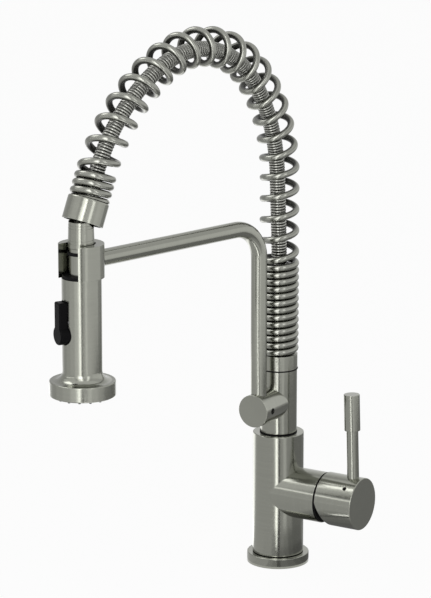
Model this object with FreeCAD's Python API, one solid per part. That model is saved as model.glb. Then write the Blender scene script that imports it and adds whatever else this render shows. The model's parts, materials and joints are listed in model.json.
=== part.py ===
import FreeCAD, Part
import math
import os

# A spring-spout kitchen faucet with a pull-out spray and a side lever, in millimetres, +Z up.
# The origin is the middle of the base's underside, on the deck. The spout reaches out along -Y,
# the valve branch leaves the body on the +X side, and each sub-part is written to its own file.

os.makedirs("parts", exist_ok=True)
V = FreeCAD.Vector
UP = V(0, 0, 1)

# Clearances
running_gap = 0.05
seat_gap = 0.3
slip_gap = 0.1
thread_gap = 0.02

# Base
flange_diameter = 61.0
flange_height = 10.0
flange_round = 0.8
gasket_width = 4.0
gasket_depth = 2.0
gasket_inset = 4.0
seal_height = 0.8
seal_setback = 0.6

# Body
body_diameter = 50.0
body_height = 132.7
body_round = 0.6
body_wall = 4.0
core_cover = 1.4
core_depth = 8.0

# Water inlets and the stud that holds the base down
inlet_spacing = 24.0
inlet_thread_radius = 5.0
inlet_thread_depth = 14.0
stud_radius = 4.0
stud_depth = 18.0
block_height = 30.0
supply_tube_diameter = 10.0
supply_tube_wall = 1.0
supply_tube_seat = 4.0

# Valve branch, turned round from +X
valve_angle = 12.7
valve_height = 73.2
branch_diameter = 49.8
branch_length = 53.4
passage_radius = 4.0

# Ceramic cartridge, measured outwards along the branch
cartridge_seat = 20.7
cartridge_diameter = 35.0
cartridge_length = 27.0
cartridge_neck_diameter = 29.0
cartridge_neck_length = 5.0
cartridge_base = 4.0
cartridge_lip = 3.0
cavity_diameter = 27.0
port_seal_height = 1.0
port_seal_width = 1.6
fixed_disc_height = 4.0
moving_disc_height = 5.0
moving_disc_diameter = 17.2
rotor_neck_diameter = 24.0
rotor_length = 27.0
stem_width = 8.0
stem_arm_width = 3.0
stem_tip_radius = 2.4
stem_tip_arm = 13.7
stem_pin_radius = 2.0
pivot_distance = 46.7
nut_diameter = 40.0
nut_notch = 4.0
trim_height = 2.0
trim_setback = 0.8
dome_radius = 21.3
dome_wall = 1.5

# Lever handle
lift_range = 20.0
lift_spare = 1.0
cap_diameter = 51.4
cap_gap = 0.4
cap_length = 39.7
cap_round = 0.7
cap_wall = 3.0
cap_hub = 19.0
stem_socket_depth = 11.0
lever_setback = 10.3
lever_lean = 1.8
lever_depth = 14.0
lever_stem_diameter = 11.6
lever_stem_length = 47.2
lever_grip_diameter = 15.6
lever_grip_length = 36.0
grip_round = 0.5
grip_tenon_radius = 3.0
grip_tenon_length = 10.0
handle_screw_radius = 2.0
handle_screw_angle = 44.0
screw_recess = 1.2
hex_depth = 2.0

# Swivel column and the boss that carries the support arm
column_diameter = 36.0
column_above_boss = 16.35
spigot_diameter = 30.0
column_bore_radius = 9.0
swivel_ring_diameter = 36.8
swivel_ring_depth = 1.5
swivel_ring_proud = 1.2
o_ring_radius = 1.05
o_ring_heights = (0.26, 0.74)
lock_screw_radius = 2.0
lock_groove_width = 5.0
lock_groove_depth = 2.2
boss_angle = 12.7
boss_rise = 30
boss_diameter = 32.2
boss_reach = 48.3
boss_round = 0.5
rod_offset = 37.6
rod_diameter = 15.6
rod_seat = 9.5
rod_bend_radius = 32.0
boss_screw_radius = 3.0

# Spring seat on top of the column
column_seal_height = 1.4
column_seal_proud = 0.8
seat_diameter = 36.6
seat_height = 14.2
seat_spigot_radius = 12.4
seat_spigot_length = 11.0
guide_radius = 10.8
guide_height = 9.0

# Spout centre line, from the seat's top: a riser, three tangent bends and a straight end
riser_length = 177.0
shoulder_radius = 160.0
shoulder_angle = 39.5
crown_radius = 99.5
crown_angle = 77.5
fall_radius = 178.0
fall_angle = 40.5
end_length = 23.6

# Spring
spring_diameter = 38.6
wire_diameter = 6.5
close_turns = 13
open_turns = 21.75
end_turns = 3
ground_turns = 0.75
close_pitch = 7.05
end_pitch = 7.2
spring_phase = 12.0
spring_seat_gap = 0.15

# Ribbed hose inside the spring, which leans to the inside of the arch
hose_diameter = 15.2
hose_bore_diameter = 9.0
hose_groove_depth = 1.0
hose_lean = 4.0
hose_lean_from = 80.0
hose_lean_at = 215.0
hose_ribs = 196
hose_socket_depth = 8.0
fitting_height = 17.0
fitting_across_flats = 20.0

# Ferrule at the spring's far end
ferrule_diameter = 38.6
ferrule_length = 22.4
ferrule_wall = 1.8
ferrule_top_wall = 3.0
ferrule_round = 2.0
hose_reach = 4.0

# Docking collar on the support arm
collar_diameter = 42.4
collar_wall = 7.9
collar_height = 31.6
collar_slot = 25.2
collar_slot_offset = 0.8
arm_drop = 17.6

# Swivel nut at the end of the hose, which hangs from the spring's end and reaches up into the ferrule
tail_shift = 10.24
tail_mouth_rise = 18.8
neck_drop = 43.15
neck_length = 24.3
neck_top_radius = 11.5
neck_foot_radius = 12.4
neck_sleeve_bore = 9.9
neck_foot_rise = 28.3
neck_spigot_radius = 7.2
neck_spigot_length = 25.0
neck_groove_depth = 0.35
neck_groove_width = 0.6
neck_groove_pitch = 2.8
neck_groove_rises = (4.3, 18.2)
clip_height = 1.4
clip_width = 2.0
neck_ring_radius = 0.85

# Spray head
spool_radius = 11.6
dock_ring_height = 2.8
dock_ring_rise = 21.7
dock_pad_radius = 17.5
barrel_diameter = 36.7
barrel_length = 96.7
barrel_wall = 2.0
barrel_lid = 3.0
flare_radius = 9.0
rose_diameter = 61.4
rose_height = 14.3
rose_round = 1.0
face_rim = 2.2
face_height = 4.0
face_seal_height = 2.0
face_seal_width = 2.4
core_radius = 11.6
core_bore_radius = 9.0
core_flange_radius = 17.0
core_flange_height = 3.0
nozzle_radius = 1.6
nozzle_tip_radius = 1.0
nozzle_proud = 1.8
nozzle_turn = -4.7
outer_ring_radius = 25.6
outer_ring_count = 16
inner_ring_radius = 16.8
inner_ring_count = 10
aerator_radius = 8.0
aerator_height = 11.0
aerator_hole_radius = 1.2
check_valve_height = 13.0
check_valve_bore = 4.0

# Toggle that changes the spray
toggle_angle = 17.5
toggle_range = 8.0
toggle_rise = 61.0
toggle_length = 40.0
toggle_width = 11.6
toggle_lobe_radius = 9.0
toggle_proud = 7.0
toggle_depth = 4.0
toggle_round = 1.4
toggle_gap = 0.9
toggle_pivot_rise = 22.0
toggle_pivot_inset = 2.2
toggle_heel = 1.0
toggle_pin_radius = 1.5
toggle_pin_length = 15.0
finger_radius = 1.8
finger_arm = 9.2
plunger_radius = 3.0
plunger_collar_radius = 8.0
plunger_collar_height = 2.4
plunger_play = 0.2
plunger_seal_radius = 7.0
plunger_drop = 26.0
plunger_lift = 14.0

# Values that follow from the sizes above
flange_radius = flange_diameter / 2
body_radius = body_diameter / 2
cellar_radius = body_radius - body_wall
body_bottom = flange_height + seal_height
branch_radius = branch_diameter / 2
cartridge_radius = cartridge_diameter / 2
cartridge_bore = cartridge_radius + slip_gap
socket_floor = valve_height + cartridge_bore + core_cover
core_floor = valve_height - cartridge_bore - core_depth
cartridge_foot = cartridge_seat + port_seal_height
cartridge_shoulder = cartridge_foot + cartridge_length
cartridge_end = cartridge_shoulder + cartridge_neck_length
cavity_floor = cartridge_foot + cartridge_base
cavity_roof = cartridge_end - cartridge_lip
cavity_radius = cavity_diameter / 2
disc_face = cavity_floor + fixed_disc_height
rotor_foot = disc_face + moving_disc_height + 2 * running_gap + seat_gap
rotor_neck_radius = rotor_neck_diameter / 2
stem_tip = pivot_distance - stem_tip_arm
trim_face = branch_length + trim_height
cap_rear = trim_face + cap_gap
cap_radius = cap_diameter / 2
cap_end = cap_rear + cap_length
cap_floor = cap_end - cap_hub
lever_distance = cap_end - lever_setback
stem_end = cap_floor + stem_socket_depth - slip_gap
column_radius = column_diameter / 2
spigot_radius = spigot_diameter / 2 - running_gap
socket_radius = spigot_diameter / 2
spigot_bottom = socket_floor + seat_gap
column_bottom = body_height + swivel_ring_proud + running_gap
lock_height = (spigot_bottom + body_height) / 2
boss_radius = boss_diameter / 2
boss_height = column_bottom + boss_rise
column_top = boss_height + boss_radius + column_above_boss
rod_radius = rod_diameter / 2
seat_bottom = column_top + column_seal_height
seat_top = seat_bottom + seat_height
seat_radius = seat_diameter / 2
wire_radius = wire_diameter / 2
coil_radius = spring_diameter / 2 - wire_radius
hose_radius = hose_diameter / 2
hose_hole = hose_radius + 2 * slip_gap
spout_legs = [(riser_length, 0.0), (shoulder_radius, shoulder_angle), (crown_radius, crown_angle),
              (fall_radius, fall_angle), (end_length, 0.0)]
spout_length = sum(size if turn == 0.0 else size * math.radians(turn) for size, turn in spout_legs)
coil_turns = close_turns + open_turns + end_turns + 2 * ground_turns


def spout_spot(distance):
    """Point and direction of the spout's centre line; it runs on straight past both ends."""
    here = V(0, 0, seat_top)
    angle = 0.0
    if distance < 0:
        return here.add(UP * distance), UP
    left = distance
    for size, turn in spout_legs:
        run = size if turn == 0.0 else size * math.radians(turn)
        part = min(left, run)
        if turn == 0.0:
            here = here.add(V(0, -math.sin(angle), math.cos(angle)) * part)
        else:
            centre = here.add(V(0, -math.cos(angle), -math.sin(angle)) * size)
            angle += part / size
            here = centre.add(V(0, math.cos(angle), math.sin(angle)) * size)
        left -= part
        if left <= 0:
            break
    ahead = V(0, -math.sin(angle), math.cos(angle))
    return here.add(ahead * max(left, 0.0)), ahead


# Values that follow from where the spring ends
spout_end = spout_spot(spout_length)[0]
spray_reach = tail_shift - spout_end.y
neck_foot = spout_end.z - neck_drop
neck_top = neck_foot + neck_length
tail_mouth = neck_foot + tail_mouth_rise
tail_foot = tail_mouth - hose_socket_depth
barrel_top = neck_foot - neck_foot_rise
collar_bottom = barrel_top + seat_gap
collar_radius = collar_diameter / 2
collar_bore = collar_radius - collar_wall
collar_top = collar_bottom + collar_height
arm_height = collar_top - arm_drop
barrel_radius = barrel_diameter / 2
barrel_inner = barrel_radius - barrel_wall
rose_top = barrel_top - barrel_length
rose_bottom = rose_top - rose_height
rose_radius = rose_diameter / 2
face_radius = rose_radius - face_rim
face_top = rose_bottom + face_height
spool_top = neck_foot - seat_gap
spool_bore = neck_spigot_radius + running_gap
neck_spigot_bottom = neck_foot - neck_spigot_length
clip_top = neck_spigot_bottom + 2 * clip_height
toggle_bottom = barrel_top - toggle_rise
toggle_top = toggle_bottom + toggle_length
toggle_face = barrel_radius + toggle_proud
toggle_pivot = toggle_bottom + toggle_pivot_rise
toggle_pivot_radius = barrel_radius - toggle_pivot_inset
finger_tip = toggle_pivot_radius - finger_arm


# Building blocks

def cylinder(radius, low, high, x=0.0, y=0.0):
    """An upright cylinder between two heights."""
    return Part.makeCylinder(radius, high - low, V(x, y, low))


def tube(outer, inner, low, high, x=0.0, y=0.0):
    """An upright tube between two heights."""
    return cylinder(outer, low, high, x, y).cut(cylinder(inner, low, high, x, y))


def block(x_range, y_range, z_range):
    """A box between two values on each axis."""
    size = [span[1] - span[0] for span in (x_range, y_range, z_range)]
    return Part.makeBox(size[0], size[1], size[2], V(x_range[0], y_range[0], z_range[0]))


def outline(corners, place):
    """A closed face from flat corners (a, b) or rounded ones (a, b, radius), set in space by place."""
    stops = []
    for index, corner in enumerate(corners):
        here = V(corner[0], corner[1], 0)
        before = V(corners[index - 1][0], corners[index - 1][1], 0).sub(here).normalize()
        after_corner = corners[(index + 1) % len(corners)]
        after = V(after_corner[0], after_corner[1], 0).sub(here).normalize()
        radius = corner[2] if len(corner) > 2 else 0.0
        if radius == 0.0:
            stops.append((here, None, here))
            continue
        half = before.getAngle(after) / 2
        bisector = before.add(after).normalize()
        reach = radius / math.tan(half)
        middle = here.add(bisector * (radius / math.sin(half) - radius))
        stops.append((here.add(before * reach), middle, here.add(after * reach)))
    edges = []
    for index, (start, middle, end) in enumerate(stops):
        if middle is not None:
            edges.append(Part.Arc(place(start), place(middle), place(end)).toShape())
        following = stops[(index + 1) % len(stops)][0]
        if end.distanceToPoint(following) > 1e-6:
            edges.append(Part.LineSegment(place(end), place(following)).toShape())
    return Part.Face(Part.Wire(edges))


def turned(corners):
    """A solid of revolution about Z from corners (radius, height) or (radius, height, rounding)."""
    face = outline(corners, lambda p: V(p.x, 0, p.y))
    return face.revolve(V(0, 0, 0), UP, 360)


def ring_of_wire(radius, wire, height):
    """A round-section ring about Z."""
    return Part.makeTorus(radius, wire, V(0, 0, height), UP)


def set_on(shape, x_axis, z_axis, origin):
    """A copy whose own X and Z axes lie along the given directions at origin."""
    y_axis = z_axis.cross(x_axis)
    matrix = FreeCAD.Matrix(x_axis.x, y_axis.x, z_axis.x, origin.x, x_axis.y, y_axis.y, z_axis.y, origin.y,
                            x_axis.z, y_axis.z, z_axis.z, origin.z, 0, 0, 0, 1)
    moved = shape.copy()
    moved.Placement = FreeCAD.Placement(matrix).multiply(shape.Placement)
    return moved


def heading(degrees_from_x):
    """A level direction, turned from +X towards +Y."""
    return V(math.cos(math.radians(degrees_from_x)), math.sin(math.radians(degrees_from_x)), 0)


valve_axis = heading(valve_angle)
boss_axis = heading(boss_angle - 90.0)
spray_centre = V(0, -spray_reach, 0)


def on_valve(shape):
    """From a shape drawn with Z out along the branch and X up."""
    return set_on(shape, UP, valve_axis, V(0, 0, valve_height))


def on_boss(shape):
    """From a shape drawn with Z out along the boss and X up."""
    return set_on(shape, UP, boss_axis, V(0, 0, boss_height))


def on_spray(shape):
    """From a shape drawn about Z at its own height, moved to the spray's axis."""
    moved = shape.copy()
    moved.translate(spray_centre)
    return moved


def facing_toggle(shape):
    """From a shape drawn with X out through the toggle, turned and moved to the spray's axis."""
    return set_on(shape, heading(-90.0 - toggle_angle), UP, spray_centre)


def grub_screw(radius, length):
    """A set screw with a hexagon socket in its top, drawn along Z from 0."""
    hexagon = Part.makePolygon([heading(60 * k) * (radius * 0.55) for k in range(7)])
    socket = Part.Face(hexagon).extrude(V(0, 0, hex_depth))
    socket.translate(V(0, 0, length - hex_depth))
    return cylinder(radius, 0, length).cut(socket)


def on_spout_end(shape):
    """From a shape drawn with Z on past the spring's end."""
    centre, ahead = spout_spot(spout_length)
    return set_on(shape, V(1, 0, 0), ahead, centre)


def smooth_step(share):
    """An even rise from 0 to 1 as share does."""
    held = min(max(share, 0.0), 1.0)
    return held * held * (3 - 2 * held)


def biarc(start, ahead, end, onward):
    """Two tangent arcs from start, heading ahead, to end, heading onward."""
    chord = end.sub(start)
    both = ahead.add(onward)
    spread = 2 * (1 - ahead.dot(onward))
    along = chord.dot(both)
    reach = (math.sqrt(along * along + spread * chord.dot(chord)) - along) / spread
    joint = start.add(end).add(ahead.sub(onward) * reach) * 0.5
    edges = []
    for first, tangent, second in ((start, ahead, joint), (end, onward * -1, joint)):
        flat = second.sub(first)
        side = tangent.sub(flat * (tangent.dot(flat) / flat.dot(flat)))
        sagitta = flat.Length / 2 * math.tan(tangent.getAngle(flat) / 2)
        middle = first.add(flat * 0.5).add(side.normalize() * sagitta)
        edges.append(Part.Arc(first, middle, second))
    return [edges[0].toShape(), Part.Arc(joint, edges[1].value(edges[1].FirstParameter * 0.5
            + edges[1].LastParameter * 0.5), end).toShape()]


def save(name, shape):
    """Write one sub-part and say what it measures."""
    solids = shape.Solids
    good = all(solid.isValid() for solid in solids)
    print(f"{name}: {len(solids)} solid(s), {shape.Volume:.1f} mm3, valid {good}")
    shape.exportStep(f"parts/{name}.step")


# Base

def base_flange():
    groove = tube(flange_radius - gasket_inset, flange_radius - gasket_inset - gasket_width, 0, gasket_depth)
    ring = turned([(cellar_radius, 0), (flange_radius, 0), (flange_radius, flange_height, flange_round),
                   (cellar_radius, flange_height)])
    return ring.cut(groove)


def deck_gasket():
    return tube(flange_radius - gasket_inset, flange_radius - gasket_inset - gasket_width, 0, gasket_depth)


def flange_seal():
    return tube(body_radius - seal_setback, cellar_radius, flange_height, body_bottom)


# Body with its valve branch and water passages

def inlet_sides():
    return [-inlet_spacing / 2, inlet_spacing / 2]


def body_shell():
    shell = turned([(0, body_bottom), (body_radius, body_bottom), (body_radius, body_height, body_round),
                    (0, body_height)])
    shell = shell.fuse(on_valve(cylinder(branch_radius, 0, branch_length)))
    shell = shell.cut(cylinder(cellar_radius, body_bottom, core_floor))
    shell = shell.cut(cylinder(socket_radius, socket_floor, body_height))
    shell = shell.cut(cylinder(swivel_ring_diameter / 2, body_height - swivel_ring_depth, body_height))
    shell = shell.cut(on_valve(cylinder(cartridge_bore, cartridge_seat, branch_length)))
    shell = shell.cut(on_valve(cylinder(nut_diameter / 2 + thread_gap, cartridge_shoulder, branch_length)))
    for offset in inlet_sides():
        riser = cylinder(passage_radius, core_floor, valve_height)
        counterbore = cylinder(supply_tube_diameter / 2 + slip_gap, core_floor, core_floor + supply_tube_seat)
        riser = riser.fuse(counterbore)
        riser.translate(across_valve() * offset)
        port = on_valve(cylinder(passage_radius, 0, cartridge_seat))
        port.translate(across_valve() * offset)
        shell = shell.cut(riser).cut(port)
    mixed_rise = cartridge_radius / 2
    shell = shell.cut(on_valve(cylinder(passage_radius, 0, cartridge_seat, mixed_rise)))
    shell = shell.cut(cylinder(passage_radius, valve_height + mixed_rise, socket_floor))
    lock_hole = cylinder(lock_screw_radius + thread_gap, 0, body_radius)
    return shell.cut(set_on(lock_hole, UP, V(0, 1, 0), V(0, 0, lock_height)))


def across_valve():
    """The level direction square to the branch, towards the spout's side."""
    return valve_axis.cross(UP)


def inlet_block():
    body = cylinder(cellar_radius - slip_gap, 0, block_height)
    body = body.cut(cylinder(stud_radius, 0, stud_depth))
    for offset in inlet_sides():
        way = cylinder(inlet_thread_radius, 0, inlet_thread_depth)
        way = way.fuse(cylinder(passage_radius, 0, block_height))
        seat = supply_tube_diameter / 2 + slip_gap
        way = way.fuse(cylinder(seat, block_height - supply_tube_seat, block_height))
        way.translate(across_valve() * offset)
        body = body.cut(way)
    return body


def supply_tubes():
    outer = supply_tube_diameter / 2
    low = block_height - supply_tube_seat
    high = core_floor + supply_tube_seat
    tubes = []
    for offset in inlet_sides():
        pipe = tube(outer, outer - supply_tube_wall, low, high)
        pipe.translate(across_valve() * offset)
        tubes.append(pipe)
    return Part.makeCompound(tubes)


# Cartridge: what stands still, what turns with the lever and what slides

def cartridge_ports():
    """Places of the hot, cold and mixed ports on the cartridge's foot, as (up, across)."""
    return [(0.0, -inlet_spacing / 2), (0.0, inlet_spacing / 2), (cartridge_radius / 2, 0.0)]


def cartridge_body():
    neck_radius = cartridge_neck_diameter / 2
    body = cylinder(cartridge_radius, cartridge_foot, cartridge_shoulder)
    body = body.fuse(cylinder(neck_radius, cartridge_shoulder, cartridge_end))
    body = body.cut(cylinder(cavity_radius, cavity_floor, cavity_roof))
    body = body.cut(cylinder(rotor_neck_radius + running_gap, cavity_roof, cartridge_end))
    for up, across in cartridge_ports():
        body = body.cut(cylinder(passage_radius, cartridge_foot, cavity_floor, up, across))
    return on_valve(body)


def cartridge_seals():
    rings = []
    outer = passage_radius + port_seal_width
    for up, across in cartridge_ports():
        seal = tube(outer, passage_radius, cartridge_seat, cartridge_foot, up, across)
        rings.append(on_valve(seal))
    return Part.makeCompound(rings)


def ceramic_disc_fixed():
    disc = cylinder(cavity_radius - slip_gap, cavity_floor, disc_face)
    for up, across in cartridge_ports():
        disc = disc.cut(cylinder(passage_radius * 0.6, cavity_floor, disc_face, up, across * 0.6))
    return on_valve(disc)


def ceramic_disc_moving():
    low = disc_face + running_gap
    high = low + moving_disc_height
    reach = stem_tip_radius + slip_gap
    disc = cylinder(moving_disc_diameter / 2, low, high)
    pocket = block((-reach, reach), (-stem_width / 2, stem_width / 2), (stem_tip - reach, high))
    return on_valve(disc.cut(pocket))


def cartridge_rotor():
    flange_top = cavity_roof - seat_gap
    end = rotor_foot + rotor_length
    swing = math.tan(math.radians(lift_range + lift_spare))
    half = stem_width / 2 / math.cos(math.radians(lift_range)) + seat_gap
    inner_arm = pivot_distance - rotor_foot
    outer_arm = end - pivot_distance
    body = cylinder(cavity_radius - seat_gap, rotor_foot, flange_top)
    body = body.fuse(cylinder(rotor_neck_radius, flange_top, end))
    slot = outline([(-half, rotor_foot - 1), (half + inner_arm * swing, rotor_foot - 1), (half, pivot_distance),
                    (half, end + 1), (-half - (outer_arm + 1) * swing, end + 1), (-half, pivot_distance)],
                   lambda p: V(p.x, 0, p.y))
    width = stem_width / 2 + slip_gap
    slot.translate(V(0, -width, 0))
    body = body.cut(slot.extrude(V(0, 2 * width, 0)))
    return on_valve(body.cut(cross_pin(stem_pin_radius + thread_gap, cavity_diameter)))


def cross_pin(radius, length):
    """A pin through the lever's pivot, square to the branch, drawn in the branch's own axes."""
    return Part.makeCylinder(radius, length, V(0, -length / 2, pivot_distance), V(0, 1, 0))


def stem_pin():
    inner = cavity_radius - seat_gap
    return on_valve(cross_pin(stem_pin_radius, 2 * math.sqrt(inner ** 2 - stem_pin_radius ** 2) - 2 * slip_gap))


def cartridge_stem():
    half = stem_width / 2
    low = pivot_distance - half
    bar = block((-half, half), (-half, half), (low, stem_end))
    inner = half - slip_gap
    arm = block((-stem_arm_width / 2, stem_arm_width / 2), (-inner, inner), (stem_tip, low))
    tip = Part.makeCylinder(stem_tip_radius, 2 * inner, V(0, -inner, stem_tip), V(0, 1, 0))
    stem = bar.fuse(arm).fuse(tip).removeSplitter()
    stem = on_valve(stem.cut(cross_pin(stem_pin_radius + running_gap, stem_width)))
    flat = block((-stem_width, stem_width), (-stem_width, stem_width), (half + slip_gap, stem_width))
    return stem.cut(handle_screw_frame(flat))


def cartridge_nut():
    outer = nut_diameter / 2
    nut = tube(outer, cartridge_neck_diameter / 2 + slip_gap, cartridge_shoulder, branch_length)
    for side in (-1, 1):
        notch = block((-nut_notch / 2, nut_notch / 2), (-outer / 8, outer / 8),
                      (branch_length - nut_notch / 2, branch_length))
        notch.translate(V(0, side * (outer - outer / 8), 0))
        nut = nut.cut(notch)
    return on_valve(nut)


def valve_trim_ring():
    inner = cartridge_neck_diameter / 2 + slip_gap
    return on_valve(tube(branch_radius - trim_setback, inner, branch_length, trim_face))


def valve_dome():
    """A thin cap, round about the lever's pivot, that fills the handle's tilting gap."""
    shell = Part.makeSphere(dome_radius).cut(Part.makeSphere(dome_radius - dome_wall))
    shell.translate(V(0, 0, pivot_distance))
    wide = 2 * dome_radius
    shell = shell.cut(block((-wide, wide), (-wide, wide), (pivot_distance - wide, trim_face)))
    return on_valve(shell.cut(cylinder(rotor_neck_radius + seat_gap, trim_face, cap_end)))


# Lever handle

def lever_frame(shape):
    """From a shape drawn upwards from the lever's foot, leaned in and set in the cap."""
    lean = math.radians(lever_lean)
    along = V(math.cos(lean), 0, -math.sin(lean))
    foot = V(cap_radius - lever_depth, 0, lever_distance)
    return on_valve(set_on(shape, V(0, 1, 0), along, foot))


def handle_screw_frame(shape):
    """From a shape drawn along Z, aimed inwards at the stem from the cap's side."""
    turn = math.radians(handle_screw_angle)
    outward = V(math.cos(turn), math.sin(turn), 0)
    return on_valve(set_on(shape, V(0, 0, 1), outward, V(0, 0, lever_distance)))


def handle_cap():
    cap = turned([(0, cap_rear), (cap_radius, cap_rear), (cap_radius, cap_end, cap_round), (0, cap_end)])
    cap = cap.cut(cylinder(cap_radius - cap_wall, cap_rear, cap_floor))
    wide = 2 * cap_radius
    relief = block((-wide, wide), (-wide, wide), (cap_rear - wide, cap_rear))
    relief.rotate(V(0, 0, pivot_distance), V(0, 1, 0), lift_range + lift_spare)
    cap = cap.cut(relief)
    half = stem_width / 2 + slip_gap
    cap = cap.cut(block((-half, half), (-half, half), (cap_floor, cap_floor + stem_socket_depth)))
    cap = on_valve(cap)
    cap = cap.cut(lever_frame(cylinder(lever_stem_diameter / 2 + thread_gap, 0, 2 * lever_depth)))
    return cap.cut(handle_screw_frame(cylinder(handle_screw_radius + thread_gap, half, cap_radius + 1)))


def handle_screw():
    start = stem_width / 2 + 2 * slip_gap
    length = cap_radius - screw_recess - start
    screw = grub_screw(handle_screw_radius, length)
    screw.translate(V(0, 0, start))
    return handle_screw_frame(screw)


def lever_stem():
    stem_top = lever_depth + lever_stem_length
    stem = cylinder(lever_stem_diameter / 2, slip_gap, stem_top)
    return lever_frame(stem.fuse(cylinder(grip_tenon_radius, stem_top, stem_top + grip_tenon_length)))


def lever_grip():
    low = lever_depth + lever_stem_length
    high = low + lever_grip_length
    radius = lever_grip_diameter / 2
    grip = turned([(0, low), (radius, low, grip_round), (radius, high, grip_round), (0, high)])
    tenon_room = cylinder(grip_tenon_radius + thread_gap, low, low + grip_tenon_length + slip_gap)
    return lever_frame(grip.cut(tenon_room))


# Swivel column

def swivel_ring():
    return tube(swivel_ring_diameter / 2 - slip_gap, socket_radius, body_height - swivel_ring_depth,
                body_height + swivel_ring_proud)


def o_ring_places():
    length = body_height - swivel_ring_depth - spigot_bottom
    return [spigot_bottom + share * length for share in o_ring_heights]


def swivel_column():
    column = cylinder(column_radius, column_bottom, column_top)
    column = column.fuse(cylinder(spigot_radius, spigot_bottom, column_bottom))
    boss = turned([(0, 0), (boss_radius, 0), (boss_radius, boss_reach, boss_round), (0, boss_reach)])
    column = column.fuse(on_boss(boss))
    column = column.cut(cylinder(column_bore_radius, spigot_bottom, fitting_bottom()))
    column = column.cut(cylinder(seat_spigot_radius + thread_gap, fitting_bottom(), column_top))
    for height in o_ring_places():
        half = o_ring_radius + slip_gap
        column = column.cut(tube(socket_radius, spigot_radius - 2 * half, height - half, height + half))
    half = lock_groove_width / 2
    floor = spigot_radius - lock_groove_depth
    column = column.cut(tube(socket_radius, floor, lock_height - half, lock_height + half))
    place = boss_axis * rod_offset
    column = column.cut(cylinder(rod_radius + slip_gap, boss_height - rod_seat, boss_height + boss_diameter,
                                 place.x, place.y))
    return column.cut(boss_screw_frame(cylinder(boss_screw_radius + thread_gap, rod_radius, boss_diameter)))


def fitting_bottom():
    """Height of the floor that the hose's lower fitting stands on."""
    return seat_bottom - seat_spigot_length - seat_gap - fitting_height


def column_o_rings():
    middle = spigot_radius - o_ring_radius - slip_gap
    return Part.makeCompound([ring_of_wire(middle, o_ring_radius, height) for height in o_ring_places()])


def column_lock_screw():
    tip = spigot_radius - lock_groove_depth + 2 * seat_gap
    screw = grub_screw(lock_screw_radius, body_radius - screw_recess - tip)
    screw.translate(V(0, 0, tip))
    return set_on(screw, UP, V(0, 1, 0), V(0, 0, lock_height))


def boss_screw_frame(shape):
    """From a shape drawn along Z, aimed at the rod from the boss's side."""
    return set_on(shape, UP, UP.cross(boss_axis), boss_axis * rod_offset + V(0, 0, boss_height))


def boss_screw():
    start = rod_radius + slip_gap
    screw = grub_screw(boss_screw_radius, boss_radius - screw_recess - start)
    screw.translate(V(0, 0, start))
    return boss_screw_frame(screw)


# Support arm and docking collar

def support_arm():
    foot = boss_axis * rod_offset + V(0, 0, boss_height - rod_seat + slip_gap)
    corner = V(foot.x, foot.y, arm_height)
    hub = spray_centre + V(0, 0, arm_height)
    out = hub.sub(corner).normalize()
    bend_start = corner.sub(UP * rod_bend_radius)
    bend_end = corner.add(out * rod_bend_radius)
    centre = bend_start.add(out * rod_bend_radius)
    bend_middle = centre.add(UP.sub(out).normalize() * rod_bend_radius)
    path = Part.Wire([Part.LineSegment(foot, bend_start).toShape(),
                      Part.Arc(bend_start, bend_middle, bend_end).toShape(),
                      Part.LineSegment(bend_end, hub).toShape()])
    section = Part.Wire(Part.makeCircle(rod_radius, foot, UP))
    rod = path.makePipeShell([section], True, False)
    return rod.cut(on_spray(cylinder(collar_radius + thread_gap, collar_bottom, collar_top)))


def dock_collar():
    collar = turned([(collar_bore, collar_bottom), (collar_radius, collar_bottom, seat_gap),
                     (collar_radius, collar_top, seat_gap), (collar_bore, collar_top)])
    pad_room = cylinder(dock_pad_radius + seat_gap, collar_bottom, barrel_top + dock_ring_height + seat_gap)
    slot = block((-collar_slot / 2, collar_slot / 2), (-collar_diameter, 0), (collar_bottom, collar_top))
    slot.translate(V(collar_slot_offset, 0, 0))
    return on_spray(collar.cut(pad_room).cut(slot))


# Spring seat, spring and hose

def column_seal():
    edge = column_seal_height / 2.1
    outer = column_radius + column_seal_proud
    inner = seat_spigot_radius + slip_gap
    return turned([(inner, column_top), (outer, column_top, edge), (outer, seat_bottom, edge),
                   (inner, seat_bottom)])


def spring_seat():
    seat = turned([(0, seat_bottom), (seat_radius, seat_bottom), (seat_radius, seat_top, seat_gap),
                   (0, seat_top)])
    seat = seat.fuse(cylinder(seat_spigot_radius, seat_bottom - seat_spigot_length, seat_bottom))
    seat = seat.fuse(cylinder(guide_radius, seat_top, seat_top + guide_height))
    return seat.cut(cylinder(hose_hole, seat_bottom - seat_spigot_length, seat_top + guide_height))


def hose_fitting():
    low = fitting_bottom()
    high = low + fitting_height
    across = fitting_across_flats / math.sqrt(3)
    hexagon = Part.Face(Part.makePolygon([heading(60 * k) * across for k in range(7)]))
    hexagon.translate(V(0, 0, low))
    fitting = hexagon.extrude(V(0, 0, fitting_height))
    fitting = fitting.cut(cylinder(hose_hole, high - hose_socket_depth, high))
    return fitting.cut(cylinder(hose_bore_diameter / 2, low, high))


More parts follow.
